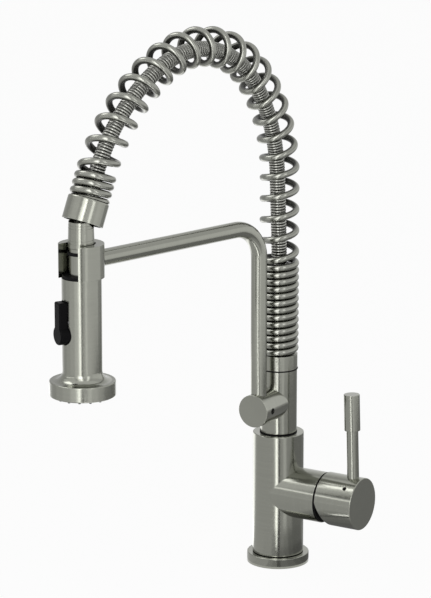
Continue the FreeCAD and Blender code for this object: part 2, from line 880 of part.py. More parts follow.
def coil_spot(turn):
    """Point on the spring's wire after a number of turns: a helix carried along the spout's centre line."""
    low_turns = close_turns + ground_turns
    high_turns = end_turns + ground_turns
    first = wire_radius + spring_seat_gap - ground_turns * close_pitch
    last = spout_length - wire_radius - spring_seat_gap + ground_turns * end_pitch
    open_pitch = (last - first - low_turns * close_pitch - high_turns * end_pitch) / open_turns
    closed = min(turn, low_turns)
    opened = min(max(turn - low_turns, 0), open_turns)
    ended = max(turn - low_turns - open_turns, 0)
    centre, ahead = spout_spot(first + closed * close_pitch + opened * open_pitch + ended * end_pitch)
    tuck = coil_radius - math.sqrt(coil_radius ** 2 - wire_diameter ** 2)
    from_end = min(turn, coil_turns - turn)
    radius = coil_radius - tuck * max(0.0, 1 - 2 * from_end)
    across = V(1, 0, 0)
    angle = math.radians(spring_phase) + 2 * math.pi * turn
    return centre.add(across * (radius * math.cos(angle))).add(ahead.cross(across) * (radius * math.sin(angle)))


def coil_heading(turn, step=1e-4):
    before = coil_spot(max(turn - step, 0.0))
    after = coil_spot(min(turn + step, coil_turns))
    return after.sub(before).normalize()


def least_coil_gap():
    """The smallest space between two stretches of the wire, from points along it."""
    per_turn = 40
    count = int(coil_turns * per_turn)
    spots = [coil_spot(k / per_turn) for k in range(count + 1)]
    nearest = min(spots[k].distanceToPoint(spots[k + lag]) for k in range(count + 1)
                  for lag in range(per_turn // 2, 2 * per_turn) if k + lag <= count)
    return nearest - wire_diameter


def spring():
    """One coiled wire whose two end turns are ground flat on the seat and on the ferrule."""
    arcs = round(4 * coil_turns)
    stations = [coil_turns * k / arcs for k in range(arcs + 1)]
    spots = [coil_spot(turn) for turn in stations]
    headings = [coil_heading(turn) for turn in stations]
    tail = spots[0].sub(headings[0] * wire_diameter)
    tip = spots[-1].add(headings[-1] * wire_diameter)
    edges = [Part.LineSegment(tail, spots[0]).toShape()]
    for k in range(len(spots) - 1):
        edges += biarc(spots[k], headings[k], spots[k + 1], headings[k + 1])
    edges.append(Part.LineSegment(spots[-1], tip).toShape())
    section = Part.Wire(Part.makeCircle(wire_radius, tail, headings[0]))
    print(f"spring: {coil_turns} turns, least gap to itself {least_coil_gap():.2f} mm")
    wire = Part.Wire(edges).makePipeShell([section], True, False)
    wide = 2 * spring_diameter
    below = block((-wide, wide), (-wide, wide), (seat_top - wide, seat_top + spring_seat_gap))
    beyond = on_spout_end(block((-wide, wide), (-wide, wide), (-spring_seat_gap, wide)))
    return wire.cut(below).cut(beyond)


def hose():
    """A ribbed tube along the spout's centre line, from the lower fitting into the ferrule."""
    start = fitting_bottom() + fitting_height - hose_socket_depth - seat_top
    finish = spout_length + hose_reach
    ribs_from = guide_height
    pitch = (finish - hose_diameter - ribs_from) / hose_ribs
    low = hose_radius - hose_groove_depth
    stations = [(start, hose_radius)]
    for k in range(hose_ribs):
        rib = ribs_from + k * pitch
        stations += [(rib, low), (rib + 0.2 * pitch, hose_radius), (rib + 0.7 * pitch, hose_radius),
                     (rib + 0.9 * pitch, low)]
    stations += [(finish - hose_diameter, low), (finish - hose_diameter + 0.2 * pitch, hose_radius),
                 (finish, hose_radius)]
    stations.insert(1, (ribs_from - 0.2 * pitch, hose_radius))
    wires = [hose_ring(distance, radius) for distance, radius in stations]
    bore = [hose_ring(start, hose_bore_diameter / 2)]
    bore += [hose_ring(ribs_from + k * pitch, hose_bore_diameter / 2) for k in range(hose_ribs + 1)]
    bore.append(hose_ring(finish, hose_bore_diameter / 2))
    return Part.makeLoft(wires, True, True).cut(Part.makeLoft(bore, True, True))


def hose_middle(distance):
    """Point on the hose's centre line, which leans to the inside of the spout's arch."""
    middle, ahead = spout_spot(distance)
    rise = smooth_step((distance - hose_lean_from) / (hose_lean_at - hose_lean_from))
    fall = smooth_step((distance - hose_lean_at) / (spout_length - hose_lean_at))
    return middle.add(V(1, 0, 0).cross(ahead) * (hose_lean * (rise - fall)))


def hose_ring(distance, radius, step=0.05):
    """A circle square to the hose's centre line, starting on the side towards +X."""
    ahead = hose_middle(distance + step).sub(hose_middle(distance - step)).normalize()
    circle = Part.Circle(hose_middle(distance), ahead, radius)
    circle.XAxis = V(1, 0, 0)
    return Part.Wire(circle.toShape())


def spring_ferrule():
    radius = ferrule_diameter / 2
    bell = turned([(hose_hole, 0), (radius, 0, ferrule_round), (radius, ferrule_length),
                   (radius - ferrule_wall, ferrule_length), (radius - ferrule_wall, ferrule_top_wall),
                   (hose_hole, ferrule_top_wall)])
    return on_spout_end(bell)


def hose_tail():
    """The short stretch of hose between the ferrule and the swivel nut."""
    start, ahead = spout_spot(spout_length + hose_reach)
    mouth = V(0, -spray_reach, tail_mouth)
    foot = V(0, -spray_reach, tail_foot + seat_gap)
    edges = biarc(start, ahead, mouth, UP * -1)
    edges.append(Part.LineSegment(mouth, foot).toShape())
    circle = Part.Wire(Part.makeCircle(hose_radius, start, ahead))
    bore = Part.Wire(Part.makeCircle(hose_bore_diameter / 2, start, ahead))
    path = Part.Wire(edges)
    return path.makePipeShell([circle], True, False).cut(path.makePipeShell([bore], True, False))


# Swivel nut on the hose's end

def neck_nut():
    """A tapered nut with a socket for the hose, which reaches up to the ferrule's mouth."""
    slope = (neck_foot_radius - neck_top_radius) / neck_length
    nut = turned([(0, neck_foot), (neck_foot_radius, neck_foot, seat_gap), (neck_top_radius, neck_top),
                  (0, neck_top)])
    nut = nut.fuse(cylinder(neck_spigot_radius, neck_spigot_bottom, neck_foot))
    nut = nut.cut(cylinder(hose_radius + seat_gap, tail_foot, tail_mouth))
    nut = nut.cut(cylinder(neck_sleeve_bore, tail_mouth, neck_top))
    nut = nut.cut(cylinder(hose_bore_diameter / 2, neck_spigot_bottom, tail_mouth))
    for rise in neck_groove_rises:
        for low in (rise, rise + neck_groove_pitch):
            floor = neck_foot_radius - slope * low - neck_groove_depth
            high = low + neck_groove_width
            nut = nut.cut(tube(neck_foot_radius + 1, floor, neck_foot + low, neck_foot + high))
    half = neck_ring_radius + slip_gap
    nut = nut.cut(tube(spool_bore, neck_spigot_radius - 2 * neck_ring_radius, neck_ring_height() - half,
                       neck_ring_height() + half))
    nut = nut.cut(tube(spool_bore, neck_spigot_radius - clip_width / 2, clip_top - clip_height, clip_top))
    return on_spray(nut)


def neck_ring_height():
    return (neck_spigot_bottom + neck_foot) / 2


def neck_o_ring():
    wire = neck_ring_radius - slip_gap / 2
    return on_spray(ring_of_wire(neck_spigot_radius - neck_ring_radius, wire, neck_ring_height()))


def neck_clip():
    inner = neck_spigot_radius - clip_width / 2
    ring = tube(inner + clip_width, inner, clip_top - clip_height, clip_top)
    opening = block((-clip_width, clip_width), (0, inner + 2 * clip_width), (clip_top - clip_height, clip_top))
    return on_spray(ring.cut(opening))


# Spray head

def dock_spool():
    spool = tube(spool_radius, spool_bore, barrel_top, spool_top)
    spool = spool.cut(cylinder(neck_spigot_radius + clip_width, barrel_top, clip_top + seat_gap))
    foot = tube(core_bore_radius - slip_gap, check_valve_bore, barrel_top - barrel_lid, barrel_top)
    ledge = tube(neck_spigot_radius + clip_width, check_valve_bore, barrel_top, neck_spigot_bottom - seat_gap)
    return on_spray(spool.fuse(foot).fuse(ledge))


def dock_rings():
    places = [(dock_pad_radius, barrel_top), (collar_bore - seat_gap, barrel_top + dock_ring_rise)]
    rings = [turned([(spool_radius, low), (outer, low, seat_gap), (outer, low + dock_ring_height, seat_gap),
                     (spool_radius, low + dock_ring_height)]) for outer, low in places]
    return Part.makeCompound([on_spray(ring) for ring in rings])


def toggle_plan(spare):
    """The toggle's outline on the barrel: a bar with a round lobe at its foot, drawn out along X."""
    half = toggle_width / 2 + spare
    lobe = toggle_lobe_radius + spare
    centre = toggle_bottom + toggle_lobe_radius
    inner = barrel_inner - toggle_depth
    bar = outline([(-half, centre), (half, centre), (half, toggle_top + spare, toggle_round),
                   (-half, toggle_top + spare, toggle_round)], lambda p: V(inner, p.x, p.y))
    bar = bar.extrude(V(toggle_face - inner, 0, 0))
    round_end = Part.makeCylinder(lobe, toggle_face - inner, V(inner, 0, centre), V(1, 0, 0))
    return bar.fuse(round_end).removeSplitter()


def spray_shell():
    flare = rose_top + flare_radius
    sweep = flare_radius * math.sqrt(0.5)
    profile = [V(0, 0, barrel_top), V(barrel_radius, 0, barrel_top), V(barrel_radius, 0, flare),
               V(barrel_radius + flare_radius, 0, rose_top), V(rose_radius, 0, rose_top),
               V(rose_radius, 0, rose_bottom), V(0, 0, rose_bottom)]
    middle = V(barrel_radius + flare_radius - sweep, 0, rose_top + flare_radius - sweep)
    edges = [Part.LineSegment(a, b).toShape() for a, b in zip(profile, profile[1:] + profile[:1])]
    edges[2] = Part.Arc(profile[2], middle, profile[3]).toShape()
    shell = Part.Face(Part.Wire(edges)).revolve(V(0, 0, 0), UP, 360)
    rim = [edge for edge in shell.Edges if edge.BoundBox.ZLength < 1e-6 and edge.Length > 6 * rose_radius]
    shell = shell.makeFillet(rose_round, rim)
    shell = shell.cut(turned([(0, barrel_top - barrel_lid), (barrel_inner, barrel_top - barrel_lid),
                              (barrel_inner, rose_top + flare_radius / 2),
                              (face_radius, rose_top - rose_height / 3),
                              (face_radius, rose_bottom), (0, rose_bottom)]))
    shell = on_spray(shell.cut(cylinder(core_bore_radius, barrel_top - barrel_lid, barrel_top)))
    shell = shell.cut(facing_toggle(toggle_plan(toggle_gap)))
    return shell.cut(facing_toggle(toggle_pin_bar(thread_gap)))


def toggle_pin_bar(spare):
    length = toggle_pin_length + 2 * spare
    start = V(toggle_pivot_radius, -length / 2, toggle_pivot)
    return Part.makeCylinder(toggle_pin_radius + spare, length, start, V(0, 1, 0))


def toggle_pin():
    return facing_toggle(toggle_pin_bar(0.0))


def toggle():
    plan = toggle_plan(0.0)
    edges = [edge for edge in plan.Edges if edge.BoundBox.XMin > toggle_face - 1e-6]
    body = plan.makeFillet(toggle_round, edges)
    body = body.cut(block((0, toggle_pivot_radius - toggle_heel), (-barrel_radius, barrel_radius),
                          (toggle_bottom - 1, toggle_pivot - 3 * finger_radius)))
    finger = Part.makeCylinder(finger_radius, finger_arm, V(finger_tip, 0, toggle_pivot), V(1, 0, 0))
    body = body.fuse(finger).fuse(Part.makeSphere(finger_radius, V(finger_tip, 0, toggle_pivot)))
    return facing_toggle(body.cut(toggle_pin_bar(running_gap)))


def spray_core():
    top = barrel_top - barrel_lid
    core = tube(core_radius, core_bore_radius, face_top + face_seal_height, top)
    low = face_top + face_seal_height
    core = core.fuse(tube(core_flange_radius, core_bore_radius, low, low + core_flange_height))
    travel = finger_arm * math.sin(math.radians(toggle_range))
    half = finger_radius + seat_gap
    window = block((0, core_radius + 1), (-half, half), (toggle_pivot - half, toggle_pivot + half + travel))
    return on_spray(core).cut(facing_toggle(window))


def diverter_plunger():
    half = finger_radius + plunger_play
    low = toggle_pivot - plunger_drop
    stem = cylinder(plunger_radius, low, toggle_pivot + plunger_lift)
    for start in (toggle_pivot + half, toggle_pivot - half - plunger_collar_height):
        stem = stem.fuse(cylinder(plunger_collar_radius, start, start + plunger_collar_height))
    return on_spray(stem.fuse(cylinder(plunger_seal_radius, low, low + plunger_collar_height)))


def check_valve():
    top = barrel_top - barrel_lid
    low = top - check_valve_height
    return on_spray(tube(core_bore_radius - slip_gap, check_valve_bore, low, top))


def nozzle_spots():
    rings = ((outer_ring_radius, outer_ring_count), (inner_ring_radius, inner_ring_count))
    return [heading(360.0 * k / count + nozzle_turn) * radius for radius, count in rings for k in range(count)]


def spray_face():
    plate = cylinder(face_radius - slip_gap, rose_bottom, face_top)
    plate = plate.cut(cylinder(aerator_radius + slip_gap, rose_bottom, face_top))
    for spot in nozzle_spots():
        plate = plate.cut(cylinder(nozzle_radius + thread_gap, rose_bottom, face_top, spot.x, spot.y))
    return on_spray(plate)


def spray_nozzles():
    nub = turned([(0, rose_bottom - nozzle_proud), (nozzle_tip_radius, rose_bottom - nozzle_proud),
                  (nozzle_radius, rose_bottom), (nozzle_radius, face_top), (0, face_top)])
    nubs = []
    for spot in nozzle_spots():
        copy = nub.copy()
        copy.translate(spot)
        nubs.append(on_spray(copy))
    return Part.makeCompound(nubs)


def aerator():
    body = cylinder(aerator_radius, rose_bottom, rose_bottom + aerator_height)
    holes = [V(0, 0, 0)] + [heading(60 * k) * (aerator_radius / 2) for k in range(6)]
    top = rose_bottom + aerator_height
    for spot in holes:
        body = body.cut(cylinder(aerator_hole_radius, rose_bottom, top, spot.x, spot.y))
    return on_spray(body)


def face_seal():
    outer = face_radius - slip_gap
    return on_spray(tube(outer, outer - face_seal_width, face_top, face_top + face_seal_height))


pieces = [
    base_flange, deck_gasket, flange_seal, body_shell, inlet_block, supply_tubes,
    cartridge_body, cartridge_seals, ceramic_disc_fixed, ceramic_disc_moving, cartridge_rotor, stem_pin,
    cartridge_stem, cartridge_nut, valve_trim_ring, valve_dome,
    handle_cap, handle_screw, lever_stem, lever_grip,
    swivel_ring, swivel_column, column_o_rings, column_lock_screw, boss_screw, support_arm, dock_collar,
    column_seal, spring_seat, hose_fitting, spring, hose, spring_ferrule, hose_tail,
    neck_nut, neck_o_ring, neck_clip, dock_spool, dock_rings,
    spray_shell, toggle, toggle_pin, spray_core, diverter_plunger, check_valve,
    spray_face, spray_nozzles, aerator, face_seal,
]
for piece in pieces:
    save(piece.__name__, piece())
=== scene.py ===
# %% [markdown]
# A spring-spout kitchen faucet in brushed nickel. The solids come packed from the CAD model and
# stay where they are. Blender adds what CAD does plainly: the coil of round wire, the ribbed hose
# inside it, the stretch of hose that slides out when the spray is pulled, the finishes, the light
# and the camera.

# %% Load the frame
import json
import math

import bpy
import numpy as np
from mathutils import Matrix


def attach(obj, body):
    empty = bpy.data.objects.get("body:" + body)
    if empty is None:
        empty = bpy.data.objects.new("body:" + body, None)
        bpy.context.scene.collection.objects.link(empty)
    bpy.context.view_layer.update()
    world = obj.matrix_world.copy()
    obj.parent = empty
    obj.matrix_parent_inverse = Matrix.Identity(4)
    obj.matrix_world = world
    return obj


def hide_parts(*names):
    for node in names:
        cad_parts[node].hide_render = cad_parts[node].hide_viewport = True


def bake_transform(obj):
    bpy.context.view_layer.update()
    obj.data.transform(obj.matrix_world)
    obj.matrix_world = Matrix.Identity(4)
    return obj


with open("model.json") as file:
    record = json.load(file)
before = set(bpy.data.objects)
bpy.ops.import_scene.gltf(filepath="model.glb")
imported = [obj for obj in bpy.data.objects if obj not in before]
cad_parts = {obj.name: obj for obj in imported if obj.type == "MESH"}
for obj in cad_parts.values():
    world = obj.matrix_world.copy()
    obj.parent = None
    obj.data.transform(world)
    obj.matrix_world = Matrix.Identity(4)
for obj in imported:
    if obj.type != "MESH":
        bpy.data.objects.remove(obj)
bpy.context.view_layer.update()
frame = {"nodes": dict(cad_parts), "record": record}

# %% [markdown]
# The hose and the coil share one centre line. It rises from the seat on the column, bends over in
# three tangent arcs and ends in the ferrule. Written as lengths, radii and turns, any point on it
# follows from its distance along the line, so the coil and the ribs need no control points.

# %% Spout centre line
MM = 0.001
seat_top = 212.0 * MM
spout_legs = [
    (177.0 * MM, 0.0), (160.0 * MM, 39.5), (99.5 * MM, 77.5), (178.0 * MM, 40.5), (23.6 * MM, 0.0)]
leg_runs = [size if turn == 0.0 else size * math.radians(turn) for size, turn in spout_legs]
spout_length = sum(leg_runs)


def spout_line(distance):
    """Points and directions at distances along the spout.

    On a straight leg the point is start + ahead * d. On a bend of radius r it is
    centre + r * (0, cos a, sin a), with a growing by d / r. Before the first leg and after the last
    the line runs on straight.
    """
    distance = np.asarray(distance, float)
    point = np.zeros(distance.shape + (3,))
    ahead = np.zeros_like(point)
    start, angle, passed = np.array([0.0, 0.0, seat_top]), 0.0, 0.0
    last = len(spout_legs) - 1
    for index, (size, turn) in enumerate(spout_legs):
        low = -np.inf if index == 0 else passed
        high = np.inf if index == last else passed + leg_runs[index]
        here = (distance >= low) & (distance < high)
        run = distance[here] - passed
        if turn == 0.0:
            heading = np.array([0.0, -math.sin(angle), math.cos(angle)])
            point[here] = start + run[:, None] * heading
            ahead[here] = heading
            start = start + leg_runs[index] * heading
        else:
            centre = start + size * np.array([0.0, -math.cos(angle), -math.sin(angle)])
            bend = angle + run / size
            zero = np.zeros_like(bend)
            point[here] = centre + size * np.stack([zero, np.cos(bend), np.sin(bend)], axis=-1)
            ahead[here] = np.stack([zero, -np.sin(bend), np.cos(bend)], axis=-1)
            angle += math.radians(turn)
            start = centre + size * np.array([0.0, math.cos(angle), math.sin(angle)])
        passed += leg_runs[index]
    return point, ahead


spout_end, spout_end_ahead = spout_line(np.array([spout_length]))
print("spout length %.1f mm, end at %s mm" % (spout_length / MM, np.round(spout_end[0] / MM, 1)))

# %% [markdown]
# Every new piece is a grid of points, rows along its path and columns round its section. One
# helper turns such a grid into a mesh: quads between neighbours, with the columns joined round.
# Another shuts the ends, with a row drawn to one point at each. Wire and hose are shaded smooth,
# but edges that turn by more than 35 degrees stay crisp.

# %% From a grid of points to a mesh
crisp_turn = math.radians(35.0)


def skin(name, grid):
    """A mesh from grid[row, column, xyz].

    Each quad joins (r, c), (r, c+1), (r+1, c+1) and (r+1, c), and the columns wrap.
    """
    rows, columns = grid.shape[:2]
    corner = np.arange(rows * columns).reshape(rows, columns)
    following = np.roll(corner, -1, axis=1)
    quads = np.stack([corner[:-1], following[:-1], following[1:], corner[1:]], axis=-1).reshape(-1, 4)
    mesh = bpy.data.meshes.new(name)
    mesh.from_pydata(grid.reshape(-1, 3).tolist(), [], quads.tolist())
    mesh.polygons.foreach_set("use_smooth", np.ones(len(mesh.polygons), bool))
    mesh.set_sharp_from_angle(angle=crisp_turn)
    mesh.update()
    piece = bpy.data.objects.new(name, mesh)
    bpy.context.collection.objects.link(piece)
    print(name, "faces:", len(mesh.polygons))
    return piece


def carry(point, normal, binormal, radius, columns):
    """A round section along a path: point + radius * (cos t * normal + sin t * binormal)."""
    turn = np.linspace(0.0, 2 * np.pi, columns, endpoint=False)
    ring = np.cos(turn)[:, None] * normal[:, None, :] + np.sin(turn)[:, None] * binormal[:, None, :]
    return point[:, None, :] + radius[:, None, None] * ring


def closed(grid):
    """The grid with its end rows repeated at their own middles, which shuts both ends."""
    first = np.broadcast_to(grid[0].mean(axis=0), grid[:1].shape)
    last = np.broadcast_to(grid[-1].mean(axis=0), grid[:1].shape)
    return np.concatenate([first, grid, last])


def mark_painted_shade(piece, depth):
    """Keep a value for each point of the grid, from which the satin finish paints shade and dulls."""
    mark = piece.data.attributes.new("painted_shade", "FLOAT", "POINT")
    mark.data.foreach_set("value", np.ascontiguousarray(depth, np.float32).ravel())


def smooth_step(share):
    """3 s^2 - 2 s^3 with s held between 0 and 1."""
    held = np.clip(share, 0, 1)
    return held * held * (3 - 2 * held)


def unit(vectors):
    """Each vector over its own length."""
    return vectors / np.linalg.norm(vectors, axis=-1, keepdims=True)


# %% [markdown]
# The coil is one length of round wire: close turns above the seat, open turns over the arch and
# close turns again at the ferrule. It could be a Screw modifier on a circle, but the pitch
# changes and the axis bends, so the helix is carried along the spout line instead. As on a real
# compression spring, both ends are ground flat where they bear.

# %% Coil spring
wire_radius = 3.25 * MM
coil_radius = 19.3 * MM - wire_radius
ground_turns = 0.75
low_turns, open_turns, high_turns = 13 + ground_turns, 21.75, 3 + ground_turns
close_pitch, end_pitch = 7.05 * MM, 7.2 * MM
bearing_gap = 0.15 * MM
spring_phase = math.radians(12.0)
rings_per_turn, wire_columns, run_on_rings, ground_reach = 72, 22, 4, 3
# Where the painted shade on the wire's inner side begins, and how far it fades in.
inner_shade_from, inner_shade_over = 0.6, 1.2
coil_first = wire_radius + bearing_gap - ground_turns * close_pitch
coil_last = spout_length - wire_radius - bearing_gap + ground_turns * end_pitch
all_turns = low_turns + open_turns + high_turns
close_run = low_turns * close_pitch + high_turns * end_pitch
open_pitch = (coil_last - coil_first - close_run) / open_turns


def coil_centre(turn):
    """Wire centre after a number of turns: line(s) + r * (cos a * X + sin a * (ahead x X)).

    a = phase + 2 pi turn, s grows by each stretch's pitch, and r is drawn in over the first and last
    half turn.
    """
    travel = (coil_first + np.minimum(turn, low_turns) * close_pitch
              + np.clip(turn - low_turns, 0, open_turns) * open_pitch
              + np.clip(turn - low_turns - open_turns, 0, None) * end_pitch)
    point, ahead = spout_line(travel)
    tuck = coil_radius - math.sqrt(coil_radius ** 2 - (2 * wire_radius) ** 2)
    from_end = np.minimum(turn, all_turns - turn)
    radius = coil_radius - tuck * np.clip(1 - 2 * from_end, 0, None)
    across = np.array([1.0, 0.0, 0.0])
    angle = spring_phase + 2 * np.pi * turn
    sideways = np.cross(ahead, across)
    outward = np.cos(angle)[:, None] * across + np.sin(angle)[:, None] * sideways
    return point + radius[:, None] * outward, outward


def ground(side, rise, flat):
    """A round section cut by a flat: points under it move up to it and in to the chord that it cuts."""
    chord = np.sqrt(np.clip(wire_radius ** 2 - flat ** 2, 0, None))
    return np.where(rise < flat, np.clip(side, -chord, chord), side), np.maximum(rise, flat)


def coil_spring():
    """Rings of wire: centre + side * normal + rise * binormal.

    (side, rise) is a circle, ground flat at both ends. The marked value grows from the wire's outer
    side to its inner one, where it paints shade on the wire and dulls it.
    """
    turn = np.linspace(0.0, all_turns, round(all_turns * rings_per_turn) + 1)
    point, outward = coil_centre(turn)
    ahead = unit(np.gradient(point, axis=0))
    run_on = np.linspace(0.0, 2 * wire_radius, run_on_rings + 1)[1:, None]
    first, last = point[:1] - run_on[::-1] * ahead[:1], point[-1:] + run_on * ahead[-1:]
    point = np.concatenate([first, point, last])
    more = [(run_on_rings, run_on_rings), (0, 0)]
    ahead, outward = np.pad(ahead, more, mode="edge"), np.pad(outward, more, mode="edge")
    normal = unit(outward - np.sum(outward * ahead, axis=1, keepdims=True) * ahead)
    binormal = np.cross(normal, ahead)
    uphill = spout_line(np.linspace(0, spout_length, len(point)))[1]
    binormal *= np.sign(np.sum(binormal * uphill, axis=1))[:, None]
    round_turn = np.linspace(0.0, 2 * np.pi, wire_columns, endpoint=False)
    side = np.broadcast_to(wire_radius * np.cos(round_turn), (len(point), wire_columns))
    rise = np.broadcast_to(wire_radius * np.sin(round_turn), (len(point), wire_columns))
    ring, near = np.arange(len(point)), ground_reach * rings_per_turn
    seat_flat = (seat_top + bearing_gap - point[:, 2]) / binormal[:, 2]
    side, rise = ground(side, rise, np.where(ring < near, seat_flat, -1.0)[:, None])
    end_flat = np.sum((spout_end - bearing_gap * spout_end_ahead - point) * spout_end_ahead, axis=1)
    end_flat = end_flat / np.sum(binormal * spout_end_ahead, axis=1)
    side, fall = ground(side, -rise, np.where(ring > len(point) - near, -end_flat, -1.0)[:, None])
    rings = point[:, None] + side[:, :, None] * normal[:, None] - fall[:, :, None] * binormal[:, None]
    piece = skin("coil_spring", closed(rings))
    # Painted shade: the wire's inner side, facing the hose, is marked to be darkened.
    inside = smooth_step((inner_shade_from - np.cos(round_turn)) / inner_shade_over)
    mark_painted_shade(piece, np.broadcast_to(inside, (len(rings) + 2, wire_columns)))
    return piece


spring = coil_spring()
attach(spring, "spout")
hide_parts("spring")
print("%.2f turns, open pitch %.2f mm" % (all_turns, open_pitch / MM))

# %% [markdown]
# The hose is a corrugated metal tube. Each rib is a rounded bulge with a narrow groove beside it,
# so its radius is a function of the distance along the hose, and the tube is that profile carried
# along the spout line. Being stiff, it leans to the inside of the arch. A named value on each
# point marks how deep it lies, for the painted shade in the grooves.

# %% Ribbed hose
hose_radius = 7.6 * MM
hose_bore = 4.5 * MM
groove_depth = 1.5 * MM
rib_count = 196
ribs_from = 9.0 * MM
hose_start = -33.5 * MM
past_spout = 4.0 * MM
hose_finish = spout_length + past_spout
rib_pitch = (hose_finish - 2 * hose_radius - ribs_from) / rib_count
hose_lean, lean_from, lean_at = 4.0 * MM, 80.0 * MM, 215.0 * MM
plain_end, probe = 0.3 * MM, 0.05 * MM
rib_power = 2.8
hose_columns, bore_rings = 30, 160


def hose_line(distance):
    """Points on the hose: the spout line plus lean * (rise - fall) towards the arch's inside.

    The rise and the fall are smooth steps.
    """
    point, ahead = spout_line(distance)
    lean = smooth_step((distance - lean_from) / (lean_at - lean_from))
    lean = lean - smooth_step((distance - lean_at) / (spout_length - lean_at))
    return point + hose_lean * lean[:, None] * np.cross(np.array([1.0, 0.0, 0.0]), ahead)


def rib_depth(share):
    """How far a rib lies below its crest, 0 to 1, for a share 0 to 1 of its pitch.

    It is 1 - sqrt(1 - |2 share - 1|^power): a power of 2 gives a half round, a larger one a flatter rib.
    """
    return 1 - np.sqrt(np.clip(1 - np.abs(2 * share - 1) ** rib_power, 0, None))


def ribbed_hose():
    """The rib profile carried up the hose line outside, and a plain bore back down it inside."""
    steps = np.array([0.0, 0.03, 0.09, 0.2, 0.4, 0.6, 0.8, 0.91, 0.97])
    rib, share = np.meshgrid(np.arange(rib_count), steps, indexing="ij")
    ribs = (ribs_from + (rib + share) * rib_pitch).ravel()
    ribs_to = ribs_from + rib_count * rib_pitch
    inner = np.linspace(hose_finish, hose_start, bore_rings)
    distance = np.concatenate([[hose_start, hose_start, ribs_from - plain_end], ribs,
                               [ribs_to + plain_end, hose_finish], inner])
    depth = np.concatenate([np.zeros(3), rib_depth(share).ravel(), np.zeros(2 + len(inner))])
    radius = hose_radius - groove_depth * depth
    radius[0] = hose_bore
    radius[-len(inner):] = hose_bore
    point = hose_line(distance)
    ahead = unit(hose_line(distance + probe) - hose_line(distance - probe))
    across = np.broadcast_to(np.array([1.0, 0.0, 0.0]), point.shape)
    piece = skin("ribbed_hose", carry(point, across, np.cross(ahead, across), radius, hose_columns))
    # The depth is kept for the painted shade in the grooves.
    mark_painted_shade(piece, np.broadcast_to(depth[:, None], (len(depth), hose_columns)))
    return piece


hose = ribbed_hose()
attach(hose, "spout")
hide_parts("hose")
print("rib pitch %.2f mm" % (rib_pitch / MM))

# %% [markdown]
# When the spray is pulled down, hose slides out of the ferrule. The tail piece stands for that
# stretch: its ribs are packed close inside the bell. A point's share of a pull is taken as a
# smooth step, and the rings are placed where the full pull would spread them evenly.

# %% Hose tail
pull = 0.15
tail_steps = 4000
neck_axis_y = -261.4 * MM
tail_mouth, tail_foot = 379.5 * MM, 371.8 * MM
tail_start = spout_end[0] + past_spout * spout_end_ahead[0]
tail_top = tail_start[2]


def tail_line(height):
    """Centre of the tail at rest, from the hose's end to the nut.

    With u the share of the fall to the mouth and S the smooth step, y = y0 (1 - S(u)) + y1 S(u)
    + m u (1 - u)^2, where m is the hose's slope over that fall.
    """
    share = np.clip((tail_top - height) / (tail_top - tail_mouth), 0, 1)
    slope = spout_end_ahead[0, 1] / -spout_end_ahead[0, 2] * (tail_top - tail_mouth)
    y = (1 - smooth_step(share)) * tail_start[1] + smooth_step(share) * neck_axis_y
    y = y + slope * share * (1 - share) ** 2
    return np.stack([np.zeros_like(y), y, height], axis=-1)


def hose_tail():
    """Rings at rest heights h whose places when pulled, h - pull * smooth_step(share of h), are even."""
    fine = np.linspace(tail_top, tail_foot, tail_steps)
    drawn = fine - pull * smooth_step((tail_top - fine) / (tail_top - tail_foot))
    ribs = round((drawn[0] - drawn[-1]) / rib_pitch)
    steps = np.array([0.0, 0.04, 0.12, 0.3, 0.5, 0.7, 0.88, 0.96])
    rib, share = np.meshgrid(np.arange(ribs), steps, indexing="ij")
    target = tail_top + (rib + share).ravel() / ribs * (drawn[-1] - tail_top)
    point = tail_line(np.interp(-target, -drawn, fine))
    depth = rib_depth(share).ravel()
    across = np.broadcast_to(np.array([1.0, 0.0, 0.0]), point.shape)
    back = np.broadcast_to(np.array([0.0, -1.0, 0.0]), point.shape)
    radius = hose_radius - groove_depth * depth
    piece = skin("hose_tail_ribs", closed(carry(point, across, back, radius, hose_columns)))
    # The depth is kept for the painted shade in the grooves.
    depth = np.concatenate([depth[:1], depth, depth[-1:]])
    mark_painted_shade(piece, np.broadcast_to(depth[:, None], (len(depth), hose_columns)))
    print("tail ribs:", ribs)
    return piece


tail = hose_tail()
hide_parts("hose_tail")
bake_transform(tail)

# %% [markdown]
# Finishes are node trees, but written as sums. The small class below wraps a socket: plus, minus
# and times add Math nodes, and one method adds any other node, sets it up and links its inputs.

# %% Shader expressions


class Shade:
    """A socket in a node tree, with arithmetic."""

    def __init__(self, tree, socket=None):
        self.tree = tree
        self.socket = socket

    def node(self, kind, settings=None, inputs=None, output=0):
        """Any node: its settings come first, then values or links on its sockets."""
        made = self.tree.nodes.new(kind)
        for key, value in (settings or {}).items():
            setattr(made, key, value)
        for key, value in (inputs or {}).items():
            if isinstance(value, Shade):
                self.tree.links.new(value.socket, made.inputs[key])
            else:
                made.inputs[key].default_value = value
        return Shade(self.tree, made.outputs[output] if len(made.outputs) else None)

    def maths(self, operation, first, second):
        """One Math node on two values."""
        return self.node("ShaderNodeMath", {"operation": operation}, {0: first, 1: second})

    def __add__(self, other):
        return self.maths("ADD", self, other)

    def __radd__(self, other):
        return self.maths("ADD", other, self)

    def __sub__(self, other):
        return self.maths("SUBTRACT", self, other)

    def __rsub__(self, other):
        return self.maths("SUBTRACT", other, self)

    def __mul__(self, other):
        return self.maths("MULTIPLY", self, other)

    def __rmul__(self, other):
        return self.maths("MULTIPLY", other, self)


def new_finish(name):
    """An empty material and the start of its expressions."""
    material = bpy.data.materials.new(name)
    material.use_nodes = True
    material.node_tree.nodes.clear()
    print("finish:", name)
    return material, Shade(material.node_tree)


def surface(start, inputs):
    """A Principled surface joined to the material's output."""
    shader = start.node("ShaderNodeBsdfPrincipled", None, inputs)
    start.node("ShaderNodeOutputMaterial", None, {"Surface": shader})


def place(start):
    """The point's place in metres: pieces sit at the origin, so it is in the frame's own coordinates."""
    return start.node("ShaderNodeTexCoord", output="Object")


